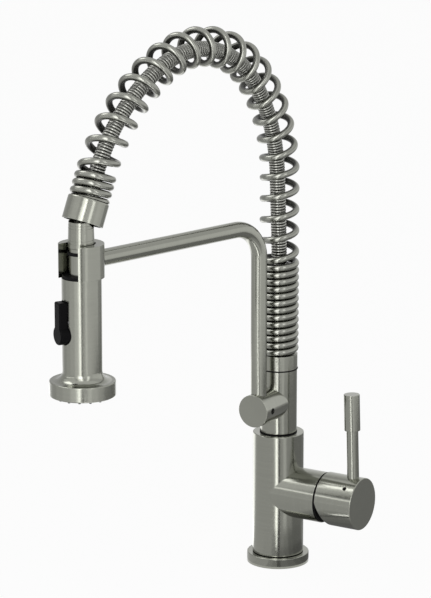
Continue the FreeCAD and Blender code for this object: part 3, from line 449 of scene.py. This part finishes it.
def vector_maths(start, operation, first, second=(0.0, 0.0, 0.0), output="Vector"):
    """One Vector Math node."""
    return start.node("ShaderNodeVectorMath", {"operation": operation}, {0: first, 1: second}, output)


def grain(start, size, turn=(0.0, 0.0, 0.0), detail=2.0, where=None):
    """Noise on the point's place, laid at a turn; size is about a speck's length on each axis, in metres."""
    laid = start.node("ShaderNodeMapping", {"vector_type": "TEXTURE"},
                      {"Vector": where or place(start), "Rotation": turn, "Scale": size})
    return start.node("ShaderNodeTexNoise", {"noise_dimensions": "3D"},
                      {"Vector": laid, "Scale": 1.0, "Detail": detail, "Roughness": 0.6})


def from_axis(start, axis):
    """Distance from an upright axis: the length of (x - a, y - b, 0)."""
    beside = vector_maths(start, "SUBTRACT", place(start), axis)
    level = vector_maths(start, "MULTIPLY", beside, (1.0, 1.0, 0.0))
    return vector_maths(start, "LENGTH", level, output="Value")


def flared(start, axis):
    """The place with its distance from an upright axis taken off z: lines in z become rings on a flare."""
    drop = start.node("ShaderNodeCombineXYZ", None, {"Z": from_axis(start, axis)})
    return vector_maths(start, "SUBTRACT", place(start), drop)


def along(start, heading):
    """Distance along a heading: the dot product."""
    return vector_maths(start, "DOT_PRODUCT", place(start), heading, "Value")


def past(start, distance, edge, soft):
    """0 up to an edge, 1 past it, with a soft step between."""
    return start.node("ShaderNodeMapRange", None,
                      {"Value": distance, "From Min": edge - soft, "From Max": edge + soft})


def tint(start, share, dark, light):
    """A colour between two others."""
    return start.node("ShaderNodeMix", {"data_type": "RGBA"}, {"Factor": share, 6: dark, 7: light}, 2)


# %% [markdown]
# Brushed nickel is a warm grey metal with fine lines from the belt. On turned parts the lines run
# round the axis, and they spread each highlight along the axis while it stays narrow round it.
# Lines far finer than a pixel do this as a bump; a second, longer grain varies the tone and the
# gloss a little, as handling and polish do. A casting with two axes, such as the body with its
# branch, is brushed round each, so its material changes over where they meet.

# %% Brushed nickel
nickel_light = (0.344, 0.350, 0.308, 1.0)
nickel_dark = (0.278, 0.283, 0.249, 1.0)
valve_heading = math.radians(12.7)
boss_heading = math.radians(-77.3)
ferrule_lean = math.radians(-22.5)
line_length, line_width, line_depth = 0.025, 0.0002, 0.00002
streak_length, streak_width, cloud_size = 0.055, 0.0011, 0.045
body_edge, column_edge, meeting_soft = 0.0251, 0.0181, 0.00005
arm_edge, arm_soft = 0.271, 0.008


def brush_marks(start, across, turn, where=None):
    """Two grains drawn out along the brushing: lines that scatter light, and wider streaks of tone."""
    line_size, streak_size = [line_length] * 3, [streak_length] * 3
    line_size[across], streak_size[across] = line_width, streak_width
    return grain(start, line_size, turn, 2.0, where), grain(start, streak_size, turn, 3.0, where)


def brushed_nickel(name, across, turn=(0.0, 0.0, 0.0), second=None, gloss=0.15, axis=None):
    """Nickel whose brush lines lie square to one axis of a turned frame: across is 0, 1 or 2.

    second gives (across, turn, heading, edge, soft) for what lies past a plane square to the heading,
    or outside a radius where the heading is None; axis is a point on a flared piece's axis.
    """
    material, start = new_finish(name)
    lines, streaks = brush_marks(start, across, turn, flared(start, axis) if axis else None)
    if second:
        other_across, other_turn, heading, edge, soft = second
        other_lines, other_streaks = brush_marks(start, other_across, other_turn)
        distance = along(start, heading) if heading else from_axis(start, (0.0, 0.0, 0.0))
        other = past(start, distance, edge, soft)
        lines = lines * (1 - other) + other_lines * other
        streaks = streaks * (1 - other) + other_streaks * other
    clouds = grain(start, (cloud_size, cloud_size, cloud_size), turn, 3.0)
    colour = tint(start, streaks * 0.7 + clouds * 0.3, nickel_dark, nickel_light)
    rough = gloss + (lines - 0.5) * 0.06 + (clouds - 0.5) * 0.05
    bump = start.node("ShaderNodeBump", None, {"Height": lines, "Strength": 0.9, "Distance": line_depth})
    surface(start, {"Base Color": colour, "Metallic": 1.0, "Roughness": rough, "Normal": bump})
    return material


round_valve, round_boss = (0.0, 0.0, valve_heading), (0.0, 0.0, boss_heading)
bend_heading = (0.0, -math.sqrt(0.5), math.sqrt(0.5))
upright_nickel = brushed_nickel("nickel brushed round the upright axis", 2)
valve_nickel = brushed_nickel("nickel brushed round the valve axis", 0, round_valve)
body_nickel = brushed_nickel("nickel on the body and its branch", 2,
                             second=(0, round_valve, None, body_edge, meeting_soft))
column_nickel = brushed_nickel("nickel on the column and its boss", 2,
                               second=(0, round_boss, None, column_edge, meeting_soft))
arm_nickel = brushed_nickel("nickel on the bent arm", 2,
                            second=(1, (0.0, 0.0, 0.0), bend_heading, arm_edge, arm_soft))
spray_nickel = brushed_nickel("nickel on the spray", 2, gloss=0.17, axis=(0.0, neck_axis_y, 0.0))
ferrule_nickel = brushed_nickel("nickel on the ferrule", 2, (ferrule_lean, 0.0, 0.0))

# %% [markdown]
# Wire and hose are drawn, not brushed, so they have a satin skin with no direction. The hose's
# grooves and the wire's inner side get painted shade: the value kept on each point darkens them
# and also dulls them.

# %% Satin wire and hose
satin_speck, satin_cloud, satin_depth = 0.0004, 0.012, 0.00002


def satin_nickel(name, dark, light, gloss, painted_shade_dark):
    """A satin metal with a fine even grain, whose colour goes to a painted shade colour with the marked
    value.
    """
    material, start = new_finish(name)
    fine = grain(start, (satin_speck, satin_speck, satin_speck), detail=3.0)
    clouds = grain(start, (satin_cloud, satin_cloud, satin_cloud), detail=3.0)
    painted_shade = start.node("ShaderNodeAttribute", {"attribute_name": "painted_shade"}, output="Fac")
    colour = tint(start, fine * 0.5 + clouds * 0.5, dark, light)
    # Painted shade: the colour darkens with the marked value, in the hose's grooves and on the wire's inner
    # side.
    colour = tint(start, start.maths("MINIMUM", painted_shade * 1.2, 1.0), colour, painted_shade_dark)
    rough = gloss + (fine - 0.5) * 0.08 + (clouds - 0.5) * 0.06 + painted_shade * 0.2
    bump = start.node("ShaderNodeBump", None, {"Height": fine, "Strength": 0.4, "Distance": satin_depth})
    surface(start, {"Base Color": colour, "Metallic": 1.0, "Roughness": rough, "Normal": bump})
    return material


# The last colour of each finish is the painted shade for the hose's grooves and the wire's inner side.
wire_nickel = satin_nickel("satin spring wire", (0.255, 0.258, 0.232, 1), (0.325, 0.33, 0.297, 1),
                           0.2, (0.05, 0.0505, 0.046, 1))
hose_nickel = satin_nickel("satin hose ribs", (0.34, 0.343, 0.315, 1), (0.42, 0.424, 0.39, 1),
                           0.26, (0.03, 0.0295, 0.028, 1))

# %% [markdown]
# The rubber rings and the toggle are black but not flat: rubber has a fine dusty mottle, and the
# moulded toggle a soft sheen with a faint grain. The thin black rings at the body's foot and under
# the swivel column also draw the dark shadow lines at those joints: they are partly painted shade.

# %% Rubber and plastics
mottle = 20


def moulded(name, dark, light, gloss, speck, depth, sheen=0.5):
    """A moulded surface: tone and gloss vary with a fine noise, which is also a shallow bump."""
    material, start = new_finish(name)
    fine = grain(start, (speck, speck, speck), detail=4.0)
    wide = grain(start, (speck * mottle, speck * mottle, speck * mottle), detail=2.0)
    colour = tint(start, fine * 0.6 + wide * 0.4, dark, light)
    rough = gloss + (wide - 0.5) * 0.1 + (fine - 0.5) * 0.06
    bump = start.node("ShaderNodeBump", None, {"Height": fine, "Strength": 0.5, "Distance": depth})
    surface(start, {"Base Color": colour, "Roughness": rough, "Normal": bump,
                    "Specular IOR Level": sheen})
    return material


# This black also colours the thin rings at the body's foot and under the swivel column, which partly stand
# for the shadow lines at those joints: painted shade.
black_rubber = moulded("black rubber", (0.003, 0.003, 0.003, 1), (0.008, 0.008, 0.0085, 1),
                       0.6, 0.0004, 0.00003, 0.1)
black_plastic = moulded("black toggle plastic", (0.0025, 0.0025, 0.003, 1), (0.006, 0.006, 0.0065, 1),
                        0.36, 0.00033, 0.00002, 0.05)
grey_plastic = moulded("grey plastic", (0.16, 0.16, 0.165, 1), (0.22, 0.22, 0.225, 1),
                       0.45, 0.0004, 0.00002)
grey_rubber = moulded("grey nozzle rubber", (0.07, 0.07, 0.075, 1), (0.11, 0.11, 0.115, 1),
                      0.6, 0.0004, 0.00003)
white_plastic = moulded("white plastic", (0.72, 0.72, 0.70, 1), (0.80, 0.80, 0.79, 1),
                        0.45, 0.0004, 0.00002)
white_ceramic = moulded("white ceramic", (0.82, 0.81, 0.78, 1), (0.88, 0.87, 0.85, 1),
                        0.12, 0.0011, 0.000005)

# %% [markdown]
# The pieces inside are bare brass and steel off the lathe, with fine rings across their axis and
# a soft tarnish. The two small screws that show are blackened steel.

# %% Bare metal
lathe_length, lathe_width, lathe_depth = 0.017, 0.0003, 0.00002
tarnish_size = 0.008


def machined(name, dark, light, gloss):
    """Bare turned metal: fine rings across Z and a soft tarnish."""
    material, start = new_finish(name)
    rings = grain(start, (lathe_length, lathe_length, lathe_width))
    tarnish = grain(start, (tarnish_size, tarnish_size, tarnish_size), detail=4.0)
    colour = tint(start, rings * 0.4 + tarnish * 0.6, dark, light)
    rough = gloss + (tarnish - 0.5) * 0.15
    bump = start.node("ShaderNodeBump", None, {"Height": rings, "Strength": 0.6, "Distance": lathe_depth})
    surface(start, {"Base Color": colour, "Metallic": 1.0, "Roughness": rough, "Normal": bump})
    return material


plain_brass = machined("plain brass", (0.46, 0.30, 0.11, 1), (0.66, 0.47, 0.20, 1), 0.3)
plain_steel = machined("plain steel", (0.12, 0.12, 0.125, 1), (0.20, 0.20, 0.205, 1), 0.35)
black_steel = machined("blackened screws", (0.012, 0.012, 0.012, 1), (0.03, 0.03, 0.03, 1), 0.5)

# %% [markdown]
# Each solid keeps its shape and gets the finish that its piece has on the real faucet. Turned
# pieces on the upright axis share one nickel; the handle's pieces are brushed round the valve's
# axis and the arm round its own.

# %% Finishes on the solids
finish_of_slot = {
    "brushed_nickel": upright_nickel, "spring_wire": wire_nickel, "ribbed_hose": hose_nickel,
    "black_rubber": black_rubber, "black_plastic": black_plastic, "grey_plastic": grey_plastic,
    "grey_rubber": grey_rubber, "white_plastic": white_plastic, "plain_brass": plain_brass,
    "white_ceramic": white_ceramic, "plain_steel": plain_steel,
}
finish_of_node = {
    "handle_cap": valve_nickel, "valve_dome": valve_nickel, "support_arm": arm_nickel,
    "body_shell": body_nickel, "swivel_column": column_nickel, "spring_ferrule": ferrule_nickel,
    "spray_shell": spray_nickel, "handle_screw": black_steel, "boss_screw": black_steel,
}
slot_of_node = {entry["node"]: entry["material_slot"] for entry in frame["record"]["subparts"]}


def paint(piece, material):
    """One finish over a whole piece."""
    piece.data.materials.clear()
    piece.data.materials.append(material)


for node, piece in frame["nodes"].items():
    paint(piece, finish_of_node.get(node, finish_of_slot[slot_of_node[node]]))
paint(spring, wire_nickel)
paint(hose, hose_nickel)
paint(tail, hose_nickel)
print("finishes:", len(finish_of_slot) + len(set(finish_of_node.values())))

# %% [markdown]
# The camera stands where the photographer did: 45 degrees round from the front, a little above,
# and far off with a long lens, so that the upright lines stay nearly parallel. Its place is given
# in its own right, up and back.

# %% Camera
view_turn, view_rise = math.radians(44.7), math.radians(13.9)
look_right, look_up, camera_distance = -0.0618, 0.2582, 3.2
camera_right = np.array([math.cos(view_turn), math.sin(view_turn), 0.0])
level_back = np.array([math.sin(view_turn), -math.cos(view_turn), 0.0])
camera_back = math.cos(view_rise) * level_back + np.array([0.0, 0.0, math.sin(view_rise)])
camera_up = np.cross(camera_back, camera_right)
camera_data = bpy.data.cameras.new("camera")
camera_data.sensor_fit = "VERTICAL"
camera_data.sensor_height = 36.0
camera_data.lens = 194.2
camera_data.clip_end = 100.0
camera = bpy.data.objects.new("camera", camera_data)
bpy.context.collection.objects.link(camera)
camera_place = look_right * camera_right + look_up * camera_up + camera_distance * camera_back
camera_frame = np.eye(4)
camera_frame[:3] = np.stack([camera_right, camera_up, camera_back, camera_place], axis=-1)
camera.matrix_world = Matrix(camera_frame.tolist())
bpy.context.scene.camera = camera
print("camera at", np.round(camera_place, 3))

# %% [markdown]
# The stage is a plain pale floor under a white surround. What the camera and the mirrors see is
# nearly white, while the light that the surround really gives is softer; the small share of plain
# matt floor keeps the faucet's shadow.

# %% Floor and surround
floor_reach, floor_glow, surround_light = 40.0, 0.95, 0.45
matte_white, pure_white = (0.86, 0.86, 0.86, 1), (1, 1, 1, 1)


def flat_mesh(name, points, faces):
    """A mesh of plain faces, for the stage."""
    mesh = bpy.data.meshes.new(name)
    mesh.from_pydata(points, [], faces)
    made = bpy.data.objects.new(name, mesh)
    bpy.context.collection.objects.link(made)
    return made


def sheet_of(name, corners):
    """A flat four-cornered stage card."""
    card = flat_mesh(name, corners, [(0, 1, 2, 3)])
    return card


def seen_rays(start):
    """1 for rays from the camera and for those that a mirror or glass passes on, else 0."""
    camera_ray = start.node("ShaderNodeLightPath", output="Is Camera Ray")
    mirror_ray = start.node("ShaderNodeLightPath", output="Is Glossy Ray")
    glass_ray = start.node("ShaderNodeLightPath", output="Is Transmission Ray")
    return start.maths("MINIMUM", camera_ray + mirror_ray + glass_ray, 1.0)


floor_finish, floor_start = new_finish("pale floor")
floor_matte = floor_start.node("ShaderNodeBsdfDiffuse", None, {"Color": matte_white})
floor_white = floor_start.node("ShaderNodeEmission", None, {"Color": pure_white, "Strength": 1.0})
floor_share = seen_rays(floor_start) * floor_glow
floor_mix = floor_start.node("ShaderNodeMixShader", None, {0: floor_share, 1: floor_matte, 2: floor_white})
floor_start.node("ShaderNodeOutputMaterial", None, {"Surface": floor_mix})
floor_corners = [(x * floor_reach, y * floor_reach, 0.0) for x, y in ((-1, -1), (1, -1), (1, 1), (-1, 1))]
floor = sheet_of("floor", floor_corners)
paint(floor, floor_finish)

world = bpy.data.worlds.new("white surround")
world.use_nodes = True
world.node_tree.nodes.clear()
world_start = Shade(world.node_tree)
soft = world_start.node("ShaderNodeBackground", None, {"Color": pure_white, "Strength": surround_light})
white = world_start.node("ShaderNodeBackground", None, {"Color": pure_white, "Strength": 1.0})
world_mix = world_start.node("ShaderNodeMixShader", None, {0: seen_rays(world_start), 1: soft, 2: white})
world_start.node("ShaderNodeOutputWorld", None, {"Surface": world_mix})
bpy.context.scene.world = world
bpy.context.scene.view_settings.view_transform = "Standard"
print("floor: %.0f m across, surround light %.2f" % (2 * floor_reach, surround_light))

# %% [markdown]
# Three tall soft boxes stand beside the camera and light the rubber, the toggle and the floor.
# Upright metal shows little of them, because a bar seen from a little above mirrors the floor in
# front of it; what leans, such as the ferrule, catches them.

# %% Soft boxes
lamp_height, lamp_tall = 1.2, 2.0


def studio_place(turn, distance, height):
    """A point on the studio floor plan: turn in degrees from the camera's side, positive to its right."""
    angle = view_turn + math.radians(turn)
    return np.array([math.sin(angle) * distance, -math.cos(angle) * distance, height])


def soft_box(name, turn, distance, width, radiance):
    """A rectangular lamp that faces the faucet; its power is radiance * area * pi."""
    data = bpy.data.lights.new(name, "AREA")
    data.shape = "RECTANGLE"
    data.size, data.size_y = width, lamp_tall
    data.energy = radiance * width * lamp_tall * math.pi
    lamp = bpy.data.objects.new(name, data)
    lamp.location = studio_place(turn, distance, lamp_height)
    lamp.rotation_euler = (math.radians(90.0), 0.0, view_turn + math.radians(turn))
    bpy.context.collection.objects.link(lamp)
    print("%s: %.0f W" % (name, data.energy))


soft_box("main soft box", -9.0, 1.6, 0.20, 3.4)
soft_box("wide soft box", -20.0, 1.7, 0.45, 1.4)
soft_box("right soft box", 27.0, 1.7, 0.35, 1.5)

# %% [markdown]
# So most streaks on the metal come from pale and dark cards laid out round it, as is done in a
# studio. Only reflections see them. On an upright bar a bearing becomes a line along the bar, and
# a distance a height, so the cards are fans of sectors: round the foot, over the floor, and
# standing round the stage.

# %% Cards
sector_step = 6.0


def toned_cards(name, points, faces, tones):
    """Stage cards that only reflections see, each face glowing in its own tone, a value on the face."""
    cards = flat_mesh(name, points.tolist(), faces.tolist())
    mark = cards.data.attributes.new("tone", "FLOAT", "FACE")
    mark.data.foreach_set("value", np.asarray(tones, np.float32))
    cards.visible_camera = False
    cards.visible_shadow = False
    cards.visible_diffuse = False
    material, start = new_finish(name)
    tone = start.node("ShaderNodeAttribute", {"attribute_name": "tone"}, output="Fac")
    glow = start.node("ShaderNodeEmission", None, {"Color": tone, "Strength": 1.0})
    start.node("ShaderNodeOutputMaterial", None, {"Surface": glow})
    material.cycles.emission_sampling = "NONE"
    paint(cards, material)
    print(name, len(tones))


def fan(name, centre, rungs, sectors):
    """Cards like a fan: rungs give (distance, height) outwards, sectors (bearing it ends at, tone).

    A corner is centre + distance * (sin b, -cos b, 0) + (0, 0, height), with b the bearing from the
    camera's side.
    """
    ends = np.array([end for end, tone in sectors])
    starts = np.concatenate([[ends[-1] - 360.0], ends[:-1]])
    bearing, owner = [], []
    for index, (low, high) in enumerate(zip(starts, ends)):
        pieces = max(1, round((high - low) / sector_step))
        bearing.append(np.linspace(low, high, pieces, endpoint=False))
        owner.append(np.full(pieces, index))
    angle = view_turn + np.radians(np.concatenate(bearing))
    owner = np.concatenate(owner)
    columns = len(angle)
    out = np.stack([np.sin(angle), -np.cos(angle), np.zeros(columns)], axis=-1)
    up = np.array([0.0, 0.0, 1.0])
    points = np.stack([np.asarray(centre) + far * out + high * up for far, high in rungs])
    corner = np.arange(len(rungs) * columns).reshape(len(rungs), columns)
    beside = np.roll(corner, -1, axis=1)
    faces = np.stack([corner[:-1], beside[:-1], beside[1:], corner[1:]], axis=-1).reshape(-1, 4)
    tones = np.tile(np.array([tone for end, tone in sectors])[owner], len(rungs) - 1)
    toned_cards(name, points.reshape(-1, 3), faces, tones)


foot_tones = [
    (-160, 1.0), (-128, 2.2), (-118, 0.9), (-60, 0.7), (-25, 0.66), (-14, 0.5), (-5, 0.42), (-3, 0.4),
    (5, 0.2), (22, 0.34), (40, 0.3), (60, 0.24), (120, 0.2), (180, 0.4)]
ring_tones = [
    (-160, 1.0), (-128, 2.2), (-118, 0.9), (-60, 0.7), (-25, 0.68), (-9.5, 0.55), (-4.5, 3.0), (-2.5, 0.6),
    (5, 0.07), (22, 0.5), (40, 0.42), (60, 0.3), (120, 0.28), (180, 0.4)]
near_tones = [
    (-160, 1.0), (-128, 2.0), (-118, 0.9), (-60, 0.7), (-20, 0.7), (-14, 0.95), (-4, 3.4), (-2, 1.0),
    (5, 0.06), (20, 0.65), (34, 0.95), (60, 0.55), (110, 0.33), (160, 0.30), (180, 1.0)]
far_tones = [
    (-130, 0.85), (-100, 0.62), (-70, 0.75), (-40, 0.85), (-20, 1.1), (-13, 1.6), (-5, 3.5), (-1, 1.0),
    (6, 0.2), (20, 0.8), (33, 1.3), (60, 0.95), (110, 0.92), (160, 0.52), (180, 0.8)]
wall_tones = [
    (-100, 0.6), (-40, 0.75), (-20, 1.1), (-4, 2.5), (6, 0.3), (30, 1.0), (60, 0.9), (130, 1.05), (180, 0.9)]
high_tones = [(-120, 0.6), (-40, 1.0), (60, 0.7), (180, 0.8)]
stage_centre, spray_foot = (0.0, 0.0, 0.0), (0.0, neck_axis_y, 0.0)
fan("foot cards", stage_centre, [(0.031, 0.002), (0.080, 0.002)], foot_tones)
fan("ring cards", stage_centre, [(0.080, 0.002), (0.135, 0.002)], ring_tones)
fan("near cards", stage_centre, [(0.135, 0.0015), (0.80, 0.0015)], near_tones)
fan("far cards", spray_foot, [(0.55, 0.001), (2.0, 0.001)], far_tones)
fan("wall cards", spray_foot, [(2.0, 0.001), (2.0, 1.2)], wall_tones)
fan("high cards", spray_foot, [(2.0, 1.2), (2.0, 2.6)], high_tones)
top_card = [(-115, 0.50, 1.12), (-78, 0.50, 1.12), (-78, 0.85, 0.92), (-115, 0.85, 0.92)]
side_card = [(-90, 1.4, 0.48), (-45, 1.4, 0.48), (-45, 1.4, 0.58), (-90, 1.4, 0.58)]
top_tone, side_tone = 3.4, 2.4
hung_corners = np.array([studio_place(*corner) for corner in top_card + side_card])
toned_cards("hung cards", hung_corners, np.arange(8).reshape(2, 4), [top_tone, side_tone])
